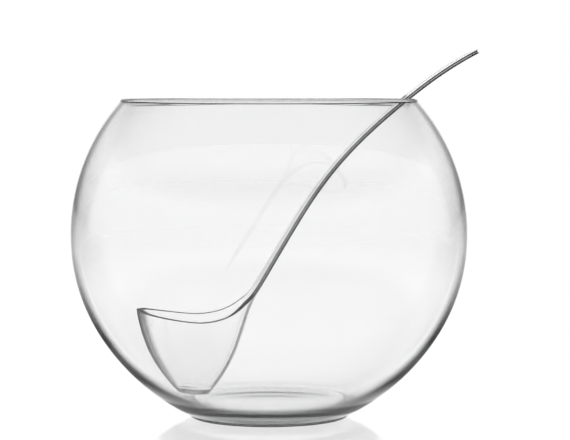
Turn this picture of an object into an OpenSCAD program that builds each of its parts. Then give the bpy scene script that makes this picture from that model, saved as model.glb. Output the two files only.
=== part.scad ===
// Round glass punch bowl with its one-piece glass ladle standing in it.
// Millimetres. +Z is up. The origin is the middle of the bowl's resting face, on the bowl's axis.
// The ladle lies in the XZ plane: its cup is on the -X side and its handle leaves over the rim on +X.

/* [Bowl] */
// widest outside diameter
bowl_d = 258.4; // [200:0.2:320]
// table to the top of the rim
bowl_h = 207.7; // [150:0.1:260]
// height of the widest level above the table
belly_z = 119.6; // [90:0.1:150]
// outline radius of the wall above the widest level
shoulder_r = 130.5; // [110:0.5:160]
// outline radius of the wall below the widest level
lower_r = 122.6; // [110:0.1:140]
// height where the flatter heel curve takes over
heel_z = 53.1; // [30:0.1:80]
// outline radius of the heel
heel_r = 145; // [125:0.1:200]
// diameter of the flat foot that the bowl rests on
foot_d = 103; // [90:1:110]
// rounding at the foot's edge
foot_round = 1.2; // [0.5:0.1:1.5]
// rise of the shallow hollow under the foot
punt_h = 1.2; // [0.5:0.1:3]
// diameter of that hollow
punt_d = 84; // [60:1:95]

/* [Glass thickness] */
// thickness of the bowl's wall at the widest level and above
wall = 3; // [2:0.1:5]
// inside radius of the heel, smaller than outside, so the glass thickens toward the floor
inner_lower_r = 127; // [122:0.5:134]
// distance from the axis at which the inside heel turns into the floor
inner_turn_at = 62; // [52:0.5:72]
// radius of that turn
inner_turn_r = 30; // [20:1:45]
// lean of the floor where that turn ends
floor_lean = 0.05; // [0.03:0.01:0.2]
// thickness of the rounded bead round the rim
bead_d = 4; // [3.2:0.1:6]

/* [Ladle cup] */
// distance of the cup's middle from the bowl's axis
cup_x = -50.4; // [-60:0.1:-40]
// height of the cup's foot above the table
cup_z = 12.4; // [12:0.1:30]
// half the length of the foot
cup_foot = 8.8; // [7:0.1:14]
// outward lean of the wall at the foot, as rise of half length per height
cup_lean = 0.76; // [0.5:0.005:1]
// how fast that lean is lost, front wall
front_curve = 0.0053; // [0.003:0.0001:0.008]
// how fast that lean is lost, rear wall
rear_curve = 0.00547; // [0.003:0.00001:0.008]
// flare of the rear wall as it runs up into the handle
rear_flare = 0.00016; // [0:0.00001:0.0003]
// height above the foot where that flare starts
flare_from = 35; // [25:1:45]
// width of the cup as a share of its length
cup_ratio = 0.825; // [0.7:0.005:1]
// lean of the foot, rise toward the front lip per length
foot_tilt = 0.04; // [0:0.01:0.12]
// lowest height of the swept rim above the foot
rim_low = 53.2; // [44:0.1:60]
// rise of the rim from its low point to the front lip
lip_rise = 5; // [0:0.1:12]
// rise of the rim toward the handle, slow part and steep part
rear_rise = [11, 21]; // [0:0.5:30]
// half the angle of the wall that runs on as the handle
root_angle = 32; // [20:1:45]
// thickness of the ladle's glass
ladle_t = 2.4; // [1.8:0.1:4]
// thickness of the cup's floor
cup_floor = 4; // [3:0.1:6]

/* [Ladle handle] */
// length along the handle from the cup to its tip
handle_len = 226; // [150:1:280]
// slope of the straight part above the cup
handle_slope = 58.9; // [50:0.1:70]
// extra slope where the handle leaves the cup
root_slope = 6.4; // [0:0.1:12]
// length over which that extra slope fades
root_fade = 10.6; // [4:0.1:20]
// bend in degrees per mm along the curved parts
bend = 0.236; // [0.1:0.001:0.4]
// where the first bend starts and ends, and where the bend at the tip starts
bend_at = [64.6, 145.1, 170.6]; // [40:0.1:200]
// half widths just above the cup, at the narrowest, and near the tip
handle_half = [10.3, 8, 8.8]; // [5:0.1:15]
// hollow across the handle's upper face
handle_sag = 0.6; // [0:0.1:3]

/* [Show] */
// sub-part to show

/* [Hidden] */
big = 400;
$fn = 180;
// the narrower of two curves that run into each other is carried on this far inside the wider one
lap = 2;

// bowl: the curves' centres follow from each other, so they run into one another smoothly
bowl_r = bowl_d / 2;
shoulder_c = [bowl_r - shoulder_r, belly_z];
lower_c = [bowl_r - lower_r, belly_z];
heel_turn = asin((heel_z - belly_z) / lower_r);
heel_c = lower_c + (lower_r - heel_r) * [cos(heel_turn), sin(heel_turn)];
inner_lower_c = lower_c + (lower_r - wall - inner_lower_r) * [cos(heel_turn), sin(heel_turn)];
inner_heel_z = belly_z + (lower_r - wall) * sin(heel_turn);
floor_turn = -acos((inner_turn_at - inner_lower_c[0]) / inner_lower_r);
inner_join = inner_lower_c + inner_lower_r * [cos(floor_turn), sin(floor_turn)];
inner_turn_c = inner_join - inner_turn_r * [cos(floor_turn), sin(floor_turn)];
floor_r = inner_turn_r + inner_turn_c[0] / floor_lean;
floor_c = [0, inner_turn_c[1] + inner_turn_c[0] * sqrt(1 - pow(floor_lean, 2)) / floor_lean];
floor_join_x = inner_turn_c[0] + inner_turn_r * floor_lean;
bead_z = bowl_h - bead_d / 2;
bead_turn = asin((bead_z - belly_z) / (shoulder_r - wall / 2));
bead_c = shoulder_c + (shoulder_r - wall / 2) * [cos(bead_turn), sin(bead_turn)];
punt_r = (pow(punt_d / 2, 2) + pow(punt_h, 2)) / (2 * punt_h);

// part of a disc of radius r centred at c, kept right of the axis between two heights
module disc_band(c, r, z0, z1) {
    intersection() {
        translate(c)
            circle(r = r);
        translate([0, z0])
            square([big, z1 - z0]);
    }
}

module foot_outline() {
    round_x = foot_d / 2 - foot_round;
    square([round_x, heel_z]);
    translate([0, foot_round])
        square([foot_d / 2, foot_round]);
    translate([round_x, foot_round])
        circle(r = foot_round);
}

module bowl_outside() {
    disc_band(shoulder_c, shoulder_r, belly_z, bowl_h);
    disc_band(lower_c, lower_r, heel_z - lap, belly_z + lap);
    disc_band(heel_c, heel_r, foot_round, heel_z);
    foot_outline();
}

module bowl_inside() {
    disc_band(shoulder_c, shoulder_r - wall, belly_z, bowl_h + wall);
    disc_band(lower_c, lower_r - wall, inner_heel_z - lap, belly_z + lap);
    disc_band(inner_lower_c, inner_lower_r, inner_join[1], inner_heel_z);
    disc_band(inner_turn_c, inner_turn_r, 0, inner_join[1] + lap);
    intersection() {
        translate(floor_c)
            circle(r = floor_r);
        square([floor_join_x, inner_join[1] + lap]);
    }
}

module bowl_section() {
    difference() {
        bowl_outside();
        bowl_inside();
        translate(shoulder_c)
            rotate(bead_turn)
                square([big, big]);
        translate([0, punt_h - punt_r])
            circle(r = punt_r);
    }
    translate(bead_c)
        circle(d = bead_d);
}

module bowl() {
    color("lightcyan", 0.4)
        rotate_extrude()
            bowl_section();
}

// ladle: one sheet of glass, followed by its middle surface and given its thickness along the normal
around = 60;
across = 10;
up_cup = 14;
up_handle = 34;
up_tip = 7;
edge_turns = [45, 90, 135];
// directions either side of the sides' middle where the rim is lowest, and how the rim leaves it
low_side = 0.1;
rear_power = 5.7;
lip_power = 1.35;
// height over which the tilt of the foot fades out of the wall
tilt_fade = 40;
// lengths along the handle: bends ease in and out, the cup's width and hollow fade, the face turns
bend_ease = 8;
width_fade = 5.6;
hollow_fade = 5;
face_turn = 25;
// lengths along the handle to its narrowest, to where it widens again, and over which it widens
narrow_at = 120;
widen_at = 140;
widen_len = 60;
// rounded end of the handle, and how much of its width is left at the very end
tip_len = 9;
tip_blunt = 1.02;
step = 1;

function smooth(t) = let (u = min(max(t, 0), 1)) u * u * (3 - 2 * u);
function soft(t) = bend_ease * ln(1 + exp(t / bend_ease));
function unit(v) = v / norm(v);

// half length of the cup toward the front and toward the rear at height h above the foot
function front_a(h) = cup_foot + cup_lean * h - front_curve * h * h;
function rear_a(h) = cup_foot + cup_lean * h - rear_curve * h * h
    + rear_flare * pow(max(h - flare_from, 0), 3);
function side_b(h) = cup_ratio * front_a(h);

// height of the swept rim above the foot, by direction: 0 is the handle, 180 the front lip
function rim_h(a) = let (d = cos(a) - low_side)
    rim_low + (d > 0 ? rear_rise[0] * d * d + rear_rise[1] * pow(d, rear_power)
        : lip_rise * pow(-d, lip_power));
root_h = rim_h(root_angle);
function top_h(a) = abs(a) <= root_angle ? root_h : rim_h(a);

// middle surface of the cup
function cup_mid(a, h) =
    let (x = (cos(a) > 0 ? rear_a(h) : front_a(h)) * cos(a))
    [cup_x + x, side_b(h) * sin(a), cup_z + h - foot_tilt * x * (1 - smooth(h / tilt_fade))];
function cup_normal(a, h) = unit(cross(
    cup_mid(a + 0.5, h) - cup_mid(a - 0.5, h),
    cup_mid(a, h + 0.1) - cup_mid(a, h - 0.1)));

// the handle's middle line, walked from the cup to the tip
function slope(s) = handle_slope + root_slope * exp(-s / root_fade)
    - bend * (soft(s - bend_at[0]) - soft(s - bend_at[1]) + soft(s - bend_at[2]));
walk = [for (i = 0, p = [cup_x + rear_a(root_h), cup_z + root_h]; i <= handle_len / step;
    p = p + step * [cos(slope((i + 0.5) * step)), sin(slope((i + 0.5) * step))], i = i + 1) p];
function walk_at(s) = let (i = min(floor(s / step), len(walk) - 2), f = s / step - i)
    walk[i] * (1 - f) + walk[i + 1] * f;

root_half = side_b(root_h) * sin(root_angle);
root_sag = rear_a(root_h) * (1 - cos(root_angle));
function taper(s) = handle_half[0] + (handle_half[1] - handle_half[0]) * smooth(s / narrow_at)
    + (handle_half[2] - handle_half[1]) * smooth((s - widen_at) / widen_len)
    + (root_half - handle_half[0]) * exp(-s / width_fade);
function tip_share(s) = sqrt(1 - pow(max(s - handle_len + tip_len, 0) / (tip_len * tip_blunt), 2));
function half_width(s) = taper(s) * tip_share(s);
function sag(s) = (handle_sag + (root_sag - handle_sag) * exp(-s / hollow_fade)) * pow(tip_share(s), 2);

// middle surface of the handle: k runs from -1 to 1 across it
function hollow(k) = (1 - sqrt(1 - pow(k * sin(root_angle), 2))) / (1 - cos(root_angle));
function handle_mid(k, s) =
    let (p = walk_at(s), f = smooth(s / face_turn), g = slope(s),
        d = unit((1 - f) * [-1, 0] + f * [-sin(g), cos(g)]),
        q = p + sag(s) * hollow(k) * d)
    [q[0], half_width(s) * k, q[1]];
function handle_normal(k, s) = unit(cross(
    handle_mid(k + 0.02, s) - handle_mid(k - 0.02, s),
    handle_mid(k, min(s + 0.2, handle_len)) - handle_mid(k, max(s - 0.2, 0))));

// directions of the columns: 0 to across run on as the handle, the others end at the rim
function col_k(j) = 2 * j / across - 1;
function col_a(j) = j <= across ? asin(col_k(j) * sin(root_angle))
    : root_angle + (360 - 2 * root_angle) * (j - across) / (around - across);
// stations along the handle, closer together at the rounded tip
rows_handle = up_handle + up_tip;
function row_s(i) = i <= up_handle ? (handle_len - tip_len) * i / up_handle
    : handle_len - tip_len + tip_len * sin(90 * (i - up_handle) / up_tip);

function on_foot(p) = [p[0], p[1], cup_z - foot_tilt * (p[0] - cup_x)];
function on_floor(p) = on_foot(p) + [0, 0, cup_floor];
function shrink(p, by) = let (r = [p[0] - cup_x, p[1], 0]) p - by * unit(r);

// the walls start this far above the foot outside and above the floor inside
half_t = ladle_t / 2;
foot_bevel = 0.9;
floor_bevel = 1.2;
low_in = cup_floor + floor_bevel;
function cup_out(j, i) =
    let (a = col_a(j), h = foot_bevel + (top_h(a) - foot_bevel) * i / up_cup)
    cup_mid(a, h) + half_t * cup_normal(a, h);
function cup_in(j, i) =
    let (a = col_a(j), h = low_in + (top_h(a) - low_in) * i / up_cup)
    cup_mid(a, h) - half_t * cup_normal(a, h);

// the free edge, once round: up one side of the handle, over the tip, down the other, then the rim
edge_cells = concat(
    [for (i = [0 : rows_handle]) [across, i]],
    [for (j = [across - 1 : -1 : 0]) [j, rows_handle]],
    [for (i = [rows_handle - 1 : -1 : 0]) [0, i]],
    [for (j = [around - 1 : -1 : across + 1]) [j, 0]]);
edge_n = len(edge_cells);
function cell_mid(c) = c[1] > 0 ? handle_mid(col_k(c[0]), row_s(c[1]))
    : cup_mid(col_a(c[0]), top_h(col_a(c[0])));
function cell_normal(c) = c[1] > 0 ? handle_normal(col_k(c[0]), row_s(c[1]))
    : cup_normal(col_a(c[0]), top_h(col_a(c[0])));
edge_mid = [for (c = edge_cells) cell_mid(c)];
edge_normal = [for (c = edge_cells) cell_normal(c)];
function edge_out(i) =
    let (along = edge_mid[(i + 1) % edge_n] - edge_mid[(i + edge_n - 1) % edge_n])
    unit(cross(edge_normal[i], along));

// points: outer foot, outer cup, inner floor, inner cup, handle outside, handle inside, rounded edge
foot_in = 0.8;
floor_in = 1.6;
bend_drop = [0, 0, 0.3];
foot_ring = [for (j = [0 : around - 1]) on_foot(shrink(cup_out(j, 0), foot_in))];
floor_ring = [for (j = [0 : around - 1]) on_floor(shrink(cup_in(j, 0), floor_in))];
floor_bend = [for (j = [0 : around - 1]) (on_floor(cup_in(j, 0)) + cup_in(j, 0)) / 2 - bend_drop];
points_out = [for (i = [0 : up_cup], j = [0 : around - 1]) cup_out(j, i)];
points_in = [for (i = [0 : up_cup], j = [0 : around - 1]) cup_in(j, i)];
points_handle_out = [for (i = [1 : rows_handle], j = [0 : across])
    handle_mid(col_k(j), row_s(i)) + half_t * handle_normal(col_k(j), row_s(i))];
points_handle_in = [for (i = [1 : rows_handle], j = [0 : across])
    handle_mid(col_k(j), row_s(i)) - half_t * handle_normal(col_k(j), row_s(i))];
points_edge = [for (g = edge_turns, i = [0 : edge_n - 1])
    edge_mid[i] + half_t * (cos(g) * edge_normal[i] + sin(g) * edge_out(i))];

at_foot = 2;
at_out = at_foot + around;
at_floor = at_out + len(points_out);
at_bend = at_floor + around;
at_in = at_bend + around;
at_handle_out = at_in + len(points_in);
at_handle_in = at_handle_out + len(points_handle_out);
at_edge = at_handle_in + len(points_handle_in);

ladle_points = concat(
    [on_foot([cup_x, 0, 0]), on_floor([cup_x, 0, 0])],
    foot_ring, points_out, floor_ring, floor_bend, points_in,
    points_handle_out, points_handle_in, points_edge);

function wrap(j) = j % around;
function id_out(j, i) = at_out + i * around + wrap(j);
function id_in(j, i) = at_in + i * around + wrap(j);
function id_handle_out(j, i) = i == 0 ? id_out(j, up_cup)
    : at_handle_out + (i - 1) * (across + 1) + j;
function id_handle_in(j, i) = i == 0 ? id_in(j, up_cup)
    : at_handle_in + (i - 1) * (across + 1) + j;
function id_edge(g, i) = let (c = edge_cells[i % edge_n])
    g == 0 ? id_handle_out(c[0], c[1])
    : g == len(edge_turns) + 1 ? id_handle_in(c[0], c[1])
    : at_edge + (g - 1) * edge_n + i % edge_n;
// two triangles for four corners that are given counterclockwise as seen from outside the glass
function quad(a, b, c, d) = [[c, b, a], [d, c, a]];
function flat(lists) = [for (l = lists, x = l) x];

ladle_faces = concat(
    [for (j = [0 : around - 1]) [at_foot + j, at_foot + wrap(j + 1), 0]],
    [for (j = [0 : around - 1]) [at_floor + wrap(j + 1), at_floor + j, 1]],
    flat([for (j = [0 : around - 1])
        quad(at_foot + j, at_foot + wrap(j + 1), id_out(j + 1, 0), id_out(j, 0))]),
    flat([for (j = [0 : around - 1])
        quad(at_floor + wrap(j + 1), at_floor + j, at_bend + j, at_bend + wrap(j + 1))]),
    flat([for (j = [0 : around - 1])
        quad(at_bend + wrap(j + 1), at_bend + j, id_in(j, 0), id_in(j + 1, 0))]),
    flat([for (i = [0 : up_cup - 1], j = [0 : around - 1])
        quad(id_out(j, i), id_out(j + 1, i), id_out(j + 1, i + 1), id_out(j, i + 1))]),
    flat([for (i = [0 : up_cup - 1], j = [0 : around - 1])
        quad(id_in(j + 1, i), id_in(j, i), id_in(j, i + 1), id_in(j + 1, i + 1))]),
    flat([for (i = [0 : rows_handle - 1], j = [0 : across - 1])
        quad(id_handle_out(j, i), id_handle_out(j + 1, i),
            id_handle_out(j + 1, i + 1), id_handle_out(j, i + 1))]),
    flat([for (i = [0 : rows_handle - 1], j = [0 : across - 1])
        quad(id_handle_in(j + 1, i), id_handle_in(j, i),
            id_handle_in(j, i + 1), id_handle_in(j + 1, i + 1))]),
    flat([for (g = [0 : len(edge_turns)], i = [0 : edge_n - 1])
        quad(id_edge(g + 1, i), id_edge(g + 1, i + 1), id_edge(g, i + 1), id_edge(g, i))]));

module ladle() {
    color("aliceblue", 0.5)
        polyhedron(points = ladle_points, faces = ladle_faces, convexity = 6);
}

bowl();
ladle();
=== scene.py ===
"""Glass punch bowl with its glass ladle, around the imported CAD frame. Metres, +Z up."""
import math

import bpy
import numpy as np
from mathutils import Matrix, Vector


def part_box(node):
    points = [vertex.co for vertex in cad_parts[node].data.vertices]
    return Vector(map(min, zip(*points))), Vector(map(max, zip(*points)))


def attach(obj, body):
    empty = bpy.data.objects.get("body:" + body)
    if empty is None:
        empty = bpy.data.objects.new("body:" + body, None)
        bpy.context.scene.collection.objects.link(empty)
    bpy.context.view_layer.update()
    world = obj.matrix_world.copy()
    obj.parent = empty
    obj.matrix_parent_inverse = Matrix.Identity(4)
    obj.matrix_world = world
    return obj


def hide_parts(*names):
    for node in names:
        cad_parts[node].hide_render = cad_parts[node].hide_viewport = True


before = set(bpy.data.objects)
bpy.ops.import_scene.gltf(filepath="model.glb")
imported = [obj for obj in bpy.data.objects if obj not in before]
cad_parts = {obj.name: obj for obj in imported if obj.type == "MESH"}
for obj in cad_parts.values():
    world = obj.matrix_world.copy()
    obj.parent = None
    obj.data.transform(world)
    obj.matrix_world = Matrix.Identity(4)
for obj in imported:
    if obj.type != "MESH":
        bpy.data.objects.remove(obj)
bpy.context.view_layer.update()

MM = 0.001

# ---------------------------------------------------------------- sizes, as in the CAD source
bowl_low, bowl_high = (Vector(c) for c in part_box("bowl"))
BOWL_R = 129.2 * MM
BOWL_H = bowl_high.z
BELLY_Z = 119.6 * MM
SHOULDER_R = 130.5 * MM
LOWER_R = 122.6 * MM
HEEL_Z = 53.1 * MM
HEEL_R = 145 * MM
FOOT_R = 51.5 * MM
FOOT_ROUND = 1.2 * MM
PUNT_H = 1.2 * MM
PUNT_R = 42 * MM
WALL = 3 * MM
INNER_LOWER_R = 127 * MM
INNER_HEEL_AT = 62 * MM
INNER_HEEL_R = 30 * MM
FLOOR_LEAN = 0.05
BEAD_R = 2 * MM

CUP_X, CUP_Z = -50.4, 12.4
CUP_FOOT, CUP_LEAN = 8.8, 0.76
FRONT_CURVE, REAR_CURVE = 0.0053, 0.00547
REAR_FLARE, FLARE_FROM = 0.00016, 35.0
CUP_RATIO, FOOT_TILT = 0.825, 0.04
RIM_LOW, LIP_RISE = 53.2, 5.0
REAR_RISE = (11.0, 21.0)
ROOT_ANGLE = 32.0
LADLE_T, CUP_FLOOR = 2.4, 4.0
HANDLE_LEN, HANDLE_SLOPE = 226.0, 58.9
ROOT_SLOPE, ROOT_FADE = 6.4, 10.6
BEND, BEND_AT = 0.236, (64.6, 145.1, 170.6)
HANDLE_HALF, HANDLE_SAG = (10.3, 8.0, 8.8), 0.6
TIP_LEN = 9.0
# the cup's wall starts this far over its foot outside and over its floor inside
FOOT_EDGE, FLOOR_EDGE = 0.9, 1.2
FOOT_FILLET, FLOOR_FILLET = 0.8, 1.9


# ---------------------------------------------------------------- bowl
def on_arc(centre, radius, turns):
    return [(centre[0] + radius * math.cos(t), centre[1] + radius * math.sin(t)) for t in turns]


def at_height(centre, radius, z):
    """Angle on the right-hand side of a circle where it passes height z."""
    return math.asin(max(-1.0, min(1.0, (z - centre[1]) / radius)))


def spread(a, b, n):
    return [a + (b - a) * i / n for i in range(n + 1)]


def bowl_profile():
    """Half section of the bowl from the axis under the foot, round the rim, to the axis inside."""
    shoulder_c = (BOWL_R - SHOULDER_R, BELLY_Z)
    lower_c = (BOWL_R - LOWER_R, BELLY_Z)
    turn = at_height(lower_c, LOWER_R, HEEL_Z)
    heel_c = (lower_c[0] + (LOWER_R - HEEL_R) * math.cos(turn),
              lower_c[1] + (LOWER_R - HEEL_R) * math.sin(turn))
    shift = LOWER_R - WALL - INNER_LOWER_R
    inner_c = (lower_c[0] + shift * math.cos(turn), lower_c[1] + shift * math.sin(turn))
    inner_turn = -math.acos((INNER_HEEL_AT - inner_c[0]) / INNER_LOWER_R)
    join = on_arc(inner_c, INNER_LOWER_R, [inner_turn])[0]
    inner_heel_c = (join[0] - INNER_HEEL_R * math.cos(inner_turn),
                    join[1] - INNER_HEEL_R * math.sin(inner_turn))
    upright = math.sqrt(1 - FLOOR_LEAN ** 2)
    floor_r = INNER_HEEL_R + inner_heel_c[0] / FLOOR_LEAN
    floor_c = (0.0, inner_heel_c[1] + inner_heel_c[0] * upright / FLOOR_LEAN)
    bead_z = BOWL_H - BEAD_R
    mid_r = SHOULDER_R - WALL / 2
    bead_turn = math.asin((bead_z - BELLY_Z) / mid_r)
    bead_c = on_arc(shoulder_c, mid_r, [bead_turn])[0]
    punt_r = (PUNT_R ** 2 + PUNT_H ** 2) / (2 * PUNT_H)
    punt_c = (0.0, PUNT_H - punt_r)

    points = [(0.0, PUNT_H)]
    points += on_arc(punt_c, punt_r, spread(math.pi / 2, math.acos(PUNT_R / punt_r), 24))[1:]
    points += on_arc((FOOT_R - FOOT_ROUND, FOOT_ROUND), FOOT_ROUND, spread(-math.pi / 2, 0, 8))
    # where the foot's upright side meets the heel curve
    meet = -math.acos((FOOT_R - heel_c[0]) / HEEL_R)
    points += on_arc(heel_c, HEEL_R, spread(meet, at_height(heel_c, HEEL_R, HEEL_Z), 60))
    points += on_arc(lower_c, LOWER_R, spread(turn, 0, 60))[1:]
    # the wall runs into the bead where their outlines cross
    lip = math.acos((mid_r ** 2 + SHOULDER_R ** 2 - BEAD_R ** 2) / (2 * mid_r * SHOULDER_R))
    points += on_arc(shoulder_c, SHOULDER_R, spread(0, bead_turn - lip, 72))[1:]
    start = points[-1]
    a0 = math.atan2(start[1] - bead_c[1], start[0] - bead_c[0])
    inside = SHOULDER_R - WALL
    lip_in = math.acos((mid_r ** 2 + inside ** 2 - BEAD_R ** 2) / (2 * mid_r * inside))
    end = on_arc(shoulder_c, inside, [bead_turn - lip_in])[0]
    a1 = math.atan2(end[1] - bead_c[1], end[0] - bead_c[0])
    if a1 < a0:
        a1 += 2 * math.pi
    points += on_arc(bead_c, BEAD_R, spread(a0, a1, 28))[1:]
    points += on_arc(shoulder_c, inside, spread(bead_turn - lip_in, 0, 72))[1:]
    points += on_arc(lower_c, LOWER_R - WALL, spread(0, turn, 60))[1:]
    points += on_arc(inner_c, INNER_LOWER_R, spread(turn, inner_turn, 60))[1:]
    floor_turn = -math.acos(FLOOR_LEAN)
    points += on_arc(inner_heel_c, INNER_HEEL_R, spread(inner_turn, floor_turn, 40))[1:]
    points += on_arc(floor_c, floor_r, spread(floor_turn, -math.pi / 2, 30))[1:]
    points[-1] = (0.0, points[-1][1])
    return points


def mesh_object(name, verts, faces, sharp_over):
    mesh = bpy.data.meshes.new(name)
    mesh.from_pydata([tuple(v) for v in verts], [], faces)
    mesh.update()
    mesh.shade_smooth()
    mesh.set_sharp_from_angle(angle=math.radians(sharp_over))
    obj = bpy.data.objects.new(name, mesh)
    bpy.context.scene.collection.objects.link(obj)
    return obj


def lathe(name, profile, around, sharp_over):
    """Turns a profile that starts and ends on the axis into a closed mesh."""
    inner = profile[1:-1]
    verts = [(0.0, 0.0, profile[0][1])]
    for r, z in inner:
        for k in range(around):
            a = 2 * math.pi * k / around
            verts.append((r * math.cos(a), r * math.sin(a), z))
    verts.append((0.0, 0.0, profile[-1][1]))
    top = len(verts) - 1
    faces = []
    for k in range(around):
        n = (k + 1) % around
        faces.append((0, 1 + n, 1 + k))
        for i in range(len(inner) - 1):
            a, b = 1 + i * around, 1 + (i + 1) * around
            faces.append((a + k, a + n, b + n, b + k))
        last = 1 + (len(inner) - 1) * around
        faces.append((last + k, last + n, top))
    return mesh_object(name, verts, faces, sharp_over)


# ---------------------------------------------------------------- ladle, worked out in millimetres
def smooth(t):
    u = min(max(t, 0.0), 1.0)
    return u * u * (3 - 2 * u)


def soft(t):
    """0 well before t = 0 and t well after it, with a soft turn between."""
    return 8 * math.log(1 + math.exp(t / 8))


def unit(v):
    return v / np.linalg.norm(v)


def front_a(h):
    return CUP_FOOT + CUP_LEAN * h - FRONT_CURVE * h * h


def rear_a(h):
    return CUP_FOOT + CUP_LEAN * h - REAR_CURVE * h * h + REAR_FLARE * max(h - FLARE_FROM, 0) ** 3


def side_b(h):
    return CUP_RATIO * front_a(h)


def rim_h(deg):
    d = math.cos(math.radians(deg)) - 0.1
    if d > 0:
        return RIM_LOW + REAR_RISE[0] * d * d + REAR_RISE[1] * d ** 5.7
    return RIM_LOW + LIP_RISE * (-d) ** 1.35


ROOT_H = rim_h(ROOT_ANGLE)


def top_h(deg):
    return ROOT_H if abs(deg) <= ROOT_ANGLE + 1e-6 else rim_h(deg)


def cup_mid(deg, h):
    c, s = math.cos(math.radians(deg)), math.sin(math.radians(deg))
    x = (rear_a(h) if c > 0 else front_a(h)) * c
    return np.array([CUP_X + x, side_b(h) * s, CUP_Z + h - FOOT_TILT * x * (1 - smooth(h / 40))])


def cup_normal(deg, h):
    around = cup_mid(deg + 0.5, h) - cup_mid(deg - 0.5, h)
    up = cup_mid(deg, h + 0.1) - cup_mid(deg, h - 0.1)
    return unit(np.cross(around, up))


def slope(s):
    return HANDLE_SLOPE + ROOT_SLOPE * math.exp(-s / ROOT_FADE) - BEND * (
        soft(s - BEND_AT[0]) - soft(s - BEND_AT[1]) + soft(s - BEND_AT[2]))


def walk_line():
    p = np.array([CUP_X + rear_a(ROOT_H), CUP_Z + ROOT_H])
    line = [p]
    for i in range(int(HANDLE_LEN) + 1):
        a = math.radians(slope(i + 0.5))
        p = p + np.array([math.cos(a), math.sin(a)])
        line.append(p)
    return line


WALK = walk_line()


def walk_at(s):
    """Point on the handle's middle line, smoothed between the steps."""
    i = min(int(s), len(WALK) - 2)
    f = s - i
    return WALK[i] * (1 - f) + WALK[i + 1] * f


ROOT_HALF = side_b(ROOT_H) * math.sin(math.radians(ROOT_ANGLE))
ROOT_SAG = rear_a(ROOT_H) * (1 - math.cos(math.radians(ROOT_ANGLE)))


def full_half(s):
    taper = HANDLE_HALF[0] + (HANDLE_HALF[1] - HANDLE_HALF[0]) * smooth(s / 120)
    taper += (HANDLE_HALF[2] - HANDLE_HALF[1]) * smooth((s - 140) / 60)
    return taper + (ROOT_HALF - HANDLE_HALF[0]) * math.exp(-s / 5.6)


def tip_share(s):
    return math.sqrt(1 - (max(s - HANDLE_LEN + TIP_LEN, 0) / (TIP_LEN * 1.02)) ** 2)


def hollow(k):
    """How far the handle's section has risen at k, from 0 in the middle to 1 at the edge."""
    r = math.radians(ROOT_ANGLE)
    return (1 - math.sqrt(1 - (k * math.sin(r)) ** 2)) / (1 - math.cos(r))


def handle_mid(k, s):
    p, f, g = walk_at(s), smooth(s / 25), math.radians(slope(s))
    d = unit((1 - f) * np.array([-1.0, 0.0]) + f * np.array([-math.sin(g), math.cos(g)]))
    sag = (HANDLE_SAG + (ROOT_SAG - HANDLE_SAG) * math.exp(-s / 5)) * tip_share(s) ** 2
    q = p + sag * hollow(k) * d
    return np.array([q[0], full_half(s) * tip_share(s) * k, q[1]])


def handle_normal(k, s):
    across = handle_mid(k + 0.02, s) - handle_mid(k - 0.02, s)
    along = handle_mid(k, min(s + 0.7, HANDLE_LEN)) - handle_mid(k, max(s - 0.7, 0))
    return unit(np.cross(across, along))


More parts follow.
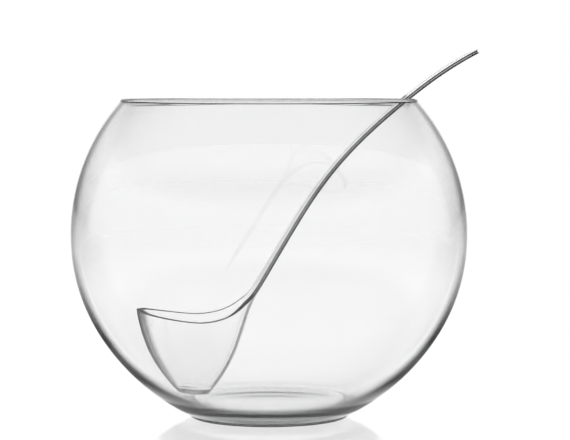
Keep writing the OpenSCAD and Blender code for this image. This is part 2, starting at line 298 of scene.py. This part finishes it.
def ladle_mesh(around=168, across=28, up_cup=44, up_handle=300, up_tip=18, edge_steps=8):
    half = LADLE_T / 2
    rows_handle = up_handle + up_tip

    def col_k(j):
        return 2 * j / across - 1

    def col_a(j):
        if j <= across:
            return math.degrees(math.asin(col_k(j) * math.sin(math.radians(ROOT_ANGLE))))
        return ROOT_ANGLE + (360 - 2 * ROOT_ANGLE) * (j - across) / (around - across)

    def row_s(i):
        if i <= up_handle:
            return (HANDLE_LEN - TIP_LEN) * i / up_handle
        return HANDLE_LEN - TIP_LEN + TIP_LEN * math.sin(math.pi / 2 * (i - up_handle) / up_tip)

    verts, faces = [], []

    def add(p):
        verts.append(p)
        return len(verts) - 1

    def on_foot(p):
        return np.array([p[0], p[1], CUP_Z - FOOT_TILT * (p[0] - CUP_X)])

    centre = np.array([CUP_X, 0, 0])
    lift = np.array([0, 0, CUP_FLOOR])

    def inward(p, part):
        """A point on the foot's plane, on the way from its middle out to p."""
        return on_foot(centre + part * (p - np.array([CUP_X, 0, p[2]])))

    def wall_rows(low, side):
        rows = []
        for i in range(up_cup + 1):
            row = []
            for j in range(around):
                a = col_a(j)
                h = low + (top_h(a) - low) * i / up_cup
                row.append(cup_mid(a, h) + side * half * cup_normal(a, h))
            rows.append(row)
        return rows

    def shrink(p, by):
        r = np.array([p[0] - CUP_X, p[1], 0.0])
        return p - by * unit(r)

    # outside: foot disc, its small rounding, then the wall
    wall_out = wall_rows(FOOT_EDGE, 1)
    wall_in = wall_rows(CUP_FLOOR + FLOOR_EDGE, -1)
    foot_mid = add(on_foot(centre))
    foot_rings = []
    for share in (0.35, 0.7):
        foot_rings.append([add(inward(p, share)) for p in wall_out[0]])
    for turn in (0, 30, 60):
        t = math.radians(turn)
        ring = []
        for p in wall_out[0]:
            base = on_foot(p)[2]
            q = shrink(p, FOOT_FILLET * (1 - math.sin(t)))
            q[2] = base + (p[2] - base) * (1 - math.cos(t))
            ring.append(add(q))
        foot_rings.append(ring)
    ids_out = [[add(p) for p in row] for row in wall_out]
    # inside: floor disc, its fillet, then the wall
    floor_mid = add(on_foot(centre) + lift)
    floor_rings = []
    for share in (0.4, 0.7):
        floor_rings.append([add(inward(p, share) + lift) for p in wall_in[0]])
    for turn in (0, 22, 45, 67):
        t = math.radians(turn)
        ring = []
        for p in wall_in[0]:
            base = on_foot(p)[2] + CUP_FLOOR
            q = shrink(p, FLOOR_FILLET * (1 - math.sin(t)))
            q[2] = base + (p[2] - base) * (1 - math.cos(t)) * 0.8
            ring.append(add(q))
        floor_rings.append(ring)
    ids_in = [[add(p) for p in row] for row in wall_in]

    handle_out, handle_in = [ids_out[-1][:across + 1]], [ids_in[-1][:across + 1]]
    mids, normals = {}, {}
    for i in range(rows_handle + 1):
        row_o, row_i = [], []
        for j in range(across + 1):
            if i == 0:
                a = col_a(j)
                mids[j, 0], normals[j, 0] = cup_mid(a, top_h(a)), cup_normal(a, top_h(a))
                continue
            m, n = handle_mid(col_k(j), row_s(i)), handle_normal(col_k(j), row_s(i))
            mids[j, i], normals[j, i] = m, n
            row_o.append(add(m + half * n))
            row_i.append(add(m - half * n))
        if i:
            handle_out.append(row_o)
            handle_in.append(row_i)
    for j in range(across + 1, around):
        a = col_a(j)
        mids[j, 0], normals[j, 0] = cup_mid(a, top_h(a)), cup_normal(a, top_h(a))

    cells = [(across, i) for i in range(rows_handle + 1)]
    cells += [(j, rows_handle) for j in range(across - 1, -1, -1)]
    cells += [(0, i) for i in range(rows_handle - 1, -1, -1)]
    cells += [(j, 0) for j in range(around - 1, across, -1)]

    def end_id(cell, outer):
        j, i = cell
        if i == 0:
            return (ids_out if outer else ids_in)[-1][j]
        return (handle_out if outer else handle_in)[i][j]

    edge_rows = [[end_id(c, True) for c in cells]]
    for g in range(1, edge_steps):
        t = math.pi * g / edge_steps
        row = []
        for i, c in enumerate(cells):
            along = mids[cells[(i + 1) % len(cells)]] - mids[cells[i - 1]]
            outward = unit(np.cross(normals[c], along))
            row.append(add(mids[c] + half * (math.cos(t) * normals[c] + math.sin(t) * outward)))
        edge_rows.append(row)
    edge_rows.append([end_id(c, False) for c in cells])

    def bands(rows, closed, flip=False):
        for low, high in zip(rows, rows[1:]):
            for j in range(len(low) if closed else len(low) - 1):
                n = (j + 1) % len(low)
                quad = (low[j], low[n], high[n], high[j])
                faces.append(quad[::-1] if flip else quad)

    for j in range(around):
        n = (j + 1) % around
        faces.append((foot_mid, foot_rings[0][n], foot_rings[0][j]))
        faces.append((floor_mid, floor_rings[0][j], floor_rings[0][n]))
    bands(foot_rings + ids_out, True)
    bands(floor_rings + ids_in, True, flip=True)
    bands(handle_out, False)
    bands(handle_in, False, flip=True)
    bands(edge_rows, True, flip=True)
    return [v * MM for v in verts], faces


# ---------------------------------------------------------------- materials
class Nodes:
    """Short ways of making the few kinds of node that the glass is built from."""

    def __init__(self, tree):
        self.nodes, self.links = tree.nodes, tree.links

    def put(self, socket, value):
        if isinstance(value, bpy.types.NodeSocket):
            self.links.new(value, socket)
        else:
            socket.default_value = value

    def make(self, kind, **inputs):
        node = self.nodes.new(kind)
        for name, value in inputs.items():
            self.put(node.inputs[name.replace("_", " ")], value)
        return node

    def math(self, operation, a, b=0.0):
        node = self.nodes.new("ShaderNodeMath")
        node.operation = operation
        self.put(node.inputs[0], a)
        self.put(node.inputs[1], b)
        return node.outputs["Value"]

    def fade(self, value, start, end, low=0.0, high=1.0):
        node = self.nodes.new("ShaderNodeMapRange")
        node.interpolation_type = "SMOOTHSTEP"
        self.put(node.inputs["Value"], value)
        for name, number in (("From Min", start), ("From Max", end), ("To Min", low), ("To Max", high)):
            node.inputs[name].default_value = number
        return node.outputs["Result"]

    def length(self, a, b):
        squares = self.math("MULTIPLY", a, a), self.math("MULTIPLY", b, b)
        return self.math("SQRT", self.math("ADD", *squares))

    def noise(self, where, scale, detail):
        node = self.make("ShaderNodeTexNoise", Vector=where, Scale=scale, Detail=detail)
        return node.outputs["Fac"]


def both(kit, a, b):
    return kit.math("MULTIPLY", a, b)


def trapped(kit, facing):
    """Masks for painted shade: whether a ray is inside the glass, and whether it meets the surface too
    flatly to leave.
    """
    inside = kit.make("ShaderNodeNewGeometry").outputs["Backfacing"]
    return inside, both(kit, inside, kit.fade(facing, *TRAPPED_FROM))


def bowl_painted_shade(kit, place, facing, inside, caught):
    """Painted shade in the glass colour: the thick heel is darkened edge on and in a ring over the
    foot, the rim's bead and the belly a little; the flat floor stays clear.
    """
    z = place["Z"]
    radius = kit.length(place["X"], place["Y"])
    caught = both(kit, caught, kit.fade(radius, *FLOOR_CLEAR))
    # distance from the centre of the heel's outside curve tells the outside from the inside
    reach = kit.length(kit.math("SUBTRACT", radius, HEEL_C[0]), kit.math("SUBTRACT", z, HEEL_C[1]))
    skin = both(kit, kit.fade(reach, *SKIN), kit.math("SUBTRACT", 1.0, inside))
    start = kit.fade(z, *EDGE_HEIGHT, EDGE_LOW, EDGE_HIGH)
    edge = kit.fade(kit.math("SUBTRACT", facing, start), 0.0, EDGE_SOFT)
    heel = both(kit, kit.fade(z, *HEEL_TOP), kit.fade(z, *HEEL_FOOT))
    ring = both(kit, kit.fade(z, RING_TOP, RING_DARK), kit.fade(z, *RING_FOOT))
    # painted shade: the heel's edge is darker the higher it is
    depth = kit.math("ADD", kit.fade(z, *HEEL_RISE[0], 1 - HEEL_SHADED_TO[0], 1 - HEEL_SHADED_TO[1]),
                     kit.fade(z, *HEEL_RISE[1], 0.0, HEEL_SHADED_TO[1] - HEEL_SHADED_TO[2]))
    at_edge = kit.math("SUBTRACT", 1.0, both(kit, both(kit, edge, heel), both(kit, skin, depth)))
    at_ring = kit.fade(both(kit, ring, skin), 0.0, 1.0, 1.0, RING_SHADED_TO)
    # painted shade: a darker band at the rim's bead and a faint one round the belly
    rim = kit.fade(z, BOWL_H - RIM_BAND, BOWL_H, 1.0, RIM_SHADED_TO)
    belly = both(kit, kit.fade(z, *MIDDLE_FROM), kit.fade(z, *MIDDLE_TO))
    middle = kit.fade(belly, 0.0, 1.0, 1.0, MIDDLE_SHADED_TO)
    tone = both(kit, kit.math("MINIMUM", at_edge, at_ring), both(kit, rim, middle))
    return both(kit, tone, kit.fade(caught, 0.0, 1.0, 1.0, BOWL_SHADED_TO))


def ladle_painted_shade(kit, place, facing, _, caught):
    """Painted shade: the cup's front wall and the handle turn their side to the dark room, so their
    glass colour is darkened there.
    """
    front = both(kit, kit.fade(facing, *FRONT_TURN), kit.fade(place["X"], *FRONT_AT))
    handle = kit.fade(place["Z"], *HANDLE_FROM)
    # painted shade: the handle grows darker from its far edge to its near one
    flat = both(kit, kit.fade(place["Y"], *HANDLE_AT), handle)
    kept = kit.fade(handle, 0.0, 1.0, CUP_SHADED_TO, LADLE_SHADED_TO)
    held = kit.math("SUBTRACT", 1.0, both(kit, caught, kit.math("SUBTRACT", 1.0, kept)))
    tones = kit.fade(front, 0.0, 1.0, 1.0, FRONT_SHADED_TO), kit.fade(flat, 0.0, 1.0, 1.0, HANDLE_SHADED_TO)
    return both(kit, held, both(kit, *tones))


def glass(name, tint, density, wave_scale, wave_height, low_rough, painted_shade_of):
    """Clear glass, faintly uneven and filmed, with shade painted into its colour, darker where light
    runs along inside it.
    """
    mat = bpy.data.materials.new(name)
    mat.use_nodes = True
    kit = Nodes(mat.node_tree)
    kit.nodes.remove(kit.nodes["Principled BSDF"])
    out = kit.nodes["Material Output"].inputs
    where = kit.make("ShaderNodeTexCoord").outputs["Object"]
    place = kit.make("ShaderNodeSeparateXYZ", Vector=where).outputs
    bump = kit.make("ShaderNodeBump", Distance=wave_height, Height=kit.noise(where, wave_scale, 2.0))
    film = kit.fade(kit.noise(where, FILM_SCALE, 4.0), 0.35, 0.75, *FILM_ROUGH)
    rough = kit.math("ADD", film, kit.fade(place["Z"], *LOW_BAND, 0.0, low_rough))
    facing = kit.make("ShaderNodeLayerWeight", Blend=0.5).outputs["Facing"]
    # shade painted into the glass colour, standing in for the dark room seen through the glass
    tone = painted_shade_of(kit, place, facing, *trapped(kit, facing))
    shader = kit.make("ShaderNodeBsdfGlass", Color=tone, Roughness=rough, IOR=1.5,
                      Normal=bump.outputs["Normal"])
    absorb = kit.make("ShaderNodeVolumeAbsorption", Color=(*tint, 1), Density=density)
    kit.links.new(shader.outputs["BSDF"], out["Surface"])
    kit.links.new(absorb.outputs["Volume"], out["Volume"])
    return mat


HEEL_TURN = at_height((BOWL_R - LOWER_R, BELLY_Z), LOWER_R, HEEL_Z)
HEEL_C = (BOWL_R - LOWER_R + (LOWER_R - HEEL_R) * math.cos(HEEL_TURN),
          BELLY_Z + (LOWER_R - HEEL_R) * math.sin(HEEL_TURN))
# painted shade: share of the light that the bowl's glass colour lets through where light is trapped, at
# the heel's edge (low, middle and high), in the ring over the foot, in the rim's bead and round the
# belly
BOWL_SHADED_TO, HEEL_SHADED_TO, RING_SHADED_TO, RIM_SHADED_TO, MIDDLE_SHADED_TO = 0.5, (0.9, 0.2, 0.08), 0.36, 0.8, 0.984
# and the share that the ladle's glass colour lets through, as painted shade: where light is trapped in
# the cup and in the handle, at the cup's front wall and at the handle's near edge
CUP_SHADED_TO, LADLE_SHADED_TO, FRONT_SHADED_TO, HANDLE_SHADED_TO = 0.25, 0.3, 0.12, 0.72
# Layer Weight's facing at which light is trapped
TRAPPED_FROM = (0.25, 0.27)
# facing at which the heel's painted shade starts, low down and high up, how softly, and the two heights
EDGE_LOW, EDGE_HIGH, EDGE_SOFT = 0.60, 0.68, 0.14
EDGE_HEIGHT = (8 * MM, 50 * MM)
# the glass's outer skin, as distances from the centre of the heel's curve
SKIN = (HEEL_R - 2.7 * MM, HEEL_R - 1.8 * MM)
# heights between which the heel's painted dark edge fades out above, fades in below, and grows darker
# twice
HEEL_TOP, HEEL_FOOT = (128 * MM, 50 * MM), (2 * MM, 7 * MM)
HEEL_RISE = ((14 * MM, 30 * MM), (40 * MM, 56 * MM))
# heights of the painted dark ring over the foot, of the rim's painted band and of the belly's faint
# painted band
RING_TOP, RING_DARK, RING_FOOT = 16.5 * MM, 10.5 * MM, (4 * MM, 8 * MM)
RIM_BAND = 4.2 * MM
MIDDLE_FROM, MIDDLE_TO = (85 * MM, 112 * MM), (170 * MM, 148 * MM)
# radius over which the painted shade of trapped light comes in, outside the flat floor
FLOOR_CLEAR = (60 * MM, 100 * MM)
# where the cup's front wall and the handle take their painted shade: x, facing, y and height
FRONT_AT, FRONT_TURN = (-44 * MM, -62 * MM), (0.25, 0.85)
HANDLE_AT, HANDLE_FROM = (7 * MM, -8 * MM), (70 * MM, 95 * MM)
# film on the glass, and the height under which the bowl's glass is rougher
FILM_SCALE, FILM_ROUGH = 9.0, (0.005, 0.025)
LOW_BAND = (30 * MM, 12 * MM)

bowl_glass = glass("bowl_glass", (0.10, 0.13, 0.12), 10.5, 6.0, 0.2 * MM, 0.07, bowl_painted_shade)
ladle_glass = glass("ladle_glass", (0.10, 0.12, 0.12), 8.0, 14.0, 0.2 * MM, 0.0, ladle_painted_shade)

bowl = lathe("bowl_blown", bowl_profile(), 288, 30)
bowl.data.materials.append(bowl_glass)
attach(bowl, "bowl")
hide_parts("bowl")

ladle = mesh_object("ladle_moulded", *ladle_mesh(), 40)
ladle.data.materials.append(ladle_glass)
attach(ladle, "ladle")
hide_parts("ladle")

# ---------------------------------------------------------------- studio
scene = bpy.context.scene
scene.view_settings.view_transform = "Standard"
scene.view_settings.look = "None"
scene.cycles.max_bounces = 32
scene.cycles.transmission_bounces = 28
scene.cycles.glossy_bounces = 12
scene.cycles.diffuse_bounces = 3
scene.cycles.transparent_max_bounces = 8
scene.cycles.use_denoising = True

# the view and the screen behind are turned this far round the bowl
AZIMUTH = math.radians(-6.5)
SCREEN_AT = math.pi / 2 + AZIMUTH
# brightness by angle from the screen's middle in degrees, and by height of the direction
SCREEN_STOPS = [(13.0, 1.0), (19.0, 0.05), (42.0, 0.05), (62.0, 0.97)]
SKY_STOPS = [(0.25, 1.0), (0.5, 0.15)]
SIDE_STOPS = [(0.0, 0.3), (0.05, 0.36), (0.12, 0.48), (0.3, 0.65)]
world = bpy.data.worlds.new("studio")
scene.world = world
world.use_nodes = True
wn, wl = world.node_tree.nodes, world.node_tree.links
wn.clear()
direction = wn.new("ShaderNodeTexCoord")
split = wn.new("ShaderNodeSeparateXYZ")
wl.new(direction.outputs["Generated"], split.inputs["Vector"])


def world_math(operation, a, b):
    node = wn.new("ShaderNodeMath")
    node.operation = operation
    for socket, value in zip(node.inputs, (a, b)):
        if isinstance(value, (int, float)):
            socket.default_value = value
        else:
            wl.new(value, socket)
    return node.outputs["Value"]


def world_ramp(value, stops):
    node = wn.new("ShaderNodeValToRGB")
    node.color_ramp.interpolation = "EASE"
    marks = node.color_ramp.elements
    while len(marks) < len(stops):
        marks.new(0.5)
    for mark, (at, tone) in zip(marks, stops):
        mark.position = at
        mark.color = (tone, tone, tone, 1)
    wl.new(value, node.inputs["Fac"])
    return node.outputs["Color"]


# a white screen stands behind the bowl with unlit room to its left and right, and the room over
# everything is dim; away from the screen the walls are white again
turn = world_math("ARCTAN2", split.outputs["Y"], split.outputs["X"])
from_screen = world_math("PINGPONG", world_math("ADD", turn, 2 * math.pi - SCREEN_AT), math.pi)
share = world_math("DIVIDE", from_screen, math.pi)
across = world_ramp(share, [(t / 180, tone) for t, tone in SCREEN_STOPS])
above = world_ramp(split.outputs["Z"], SKY_STOPS)
side = world_ramp(split.outputs["Z"], SIDE_STOPS)
light = world_math("MULTIPLY", world_math("MAXIMUM", across, side), above)
back = wn.new("ShaderNodeBackground")
back.inputs["Strength"].default_value = 1.0
wl.new(light, back.inputs["Color"])
out = wn.new("ShaderNodeOutputWorld")
wl.new(back.outputs["Background"], out.inputs["Surface"])

FLOOR_HALF = 12.0
FLOOR_GAP = 0.02 * MM
corners = [(x * FLOOR_HALF, y * FLOOR_HALF, 0) for x, y in ((-1, -1), (1, -1), (1, 1), (-1, 1))]
floor_mesh = bpy.data.meshes.new("studio_floor")
floor_mesh.from_pydata(corners, [], [(0, 1, 2, 3)])
floor = bpy.data.objects.new("studio_floor", floor_mesh)
floor.location.z = bowl_low.z - FLOOR_GAP
scene.collection.objects.link(floor)
floor_mat = bpy.data.materials.new("studio_floor")
floor_mat.use_nodes = True
fs = floor_mat.node_tree.nodes["Principled BSDF"]
fs.inputs["Base Color"].default_value = (0.92, 0.92, 0.92, 1)
fs.inputs["Roughness"].default_value = 0.06
fs.inputs["IOR"].default_value = 1.45
fs.inputs["Specular IOR Level"].default_value = 0.12
floor.data.materials.append(floor_mat)

lamp_data = bpy.data.lights.new("overhead_soft", "SUN")
lamp_data.angle = math.radians(40)
lamp_data.energy = 2.9
lamp = bpy.data.objects.new("overhead_soft", lamp_data)
lamp.visible_glossy = False
lamp.visible_transmission = False
scene.collection.objects.link(lamp)
bowl.visible_shadow = False
ladle.visible_shadow = False

# ---------------------------------------------------------------- camera
DISTANCE = 1.40395
EYE = 0.2116
AIM_Z = 0.1286
SIDE = 0.0103827
VIEW_WIDTH = 0.37221
cam_data = bpy.data.cameras.new("camera")
cam = bpy.data.objects.new("camera", cam_data)
scene.collection.objects.link(cam)
cam.location = (DISTANCE * math.sin(AZIMUTH), -DISTANCE * math.cos(AZIMUTH), EYE)
right = Vector((math.cos(AZIMUTH), math.sin(AZIMUTH), 0))
aim = right * SIDE + Vector((0, 0, AIM_Z))
cam.rotation_euler = (aim - cam.location).to_track_quat("-Z", "Y").to_euler()
cam_data.sensor_width = 36
cam_data.lens = cam_data.sensor_width * (aim - cam.location).length / VIEW_WIDTH
cam_data.clip_end = 100
scene.camera = cam
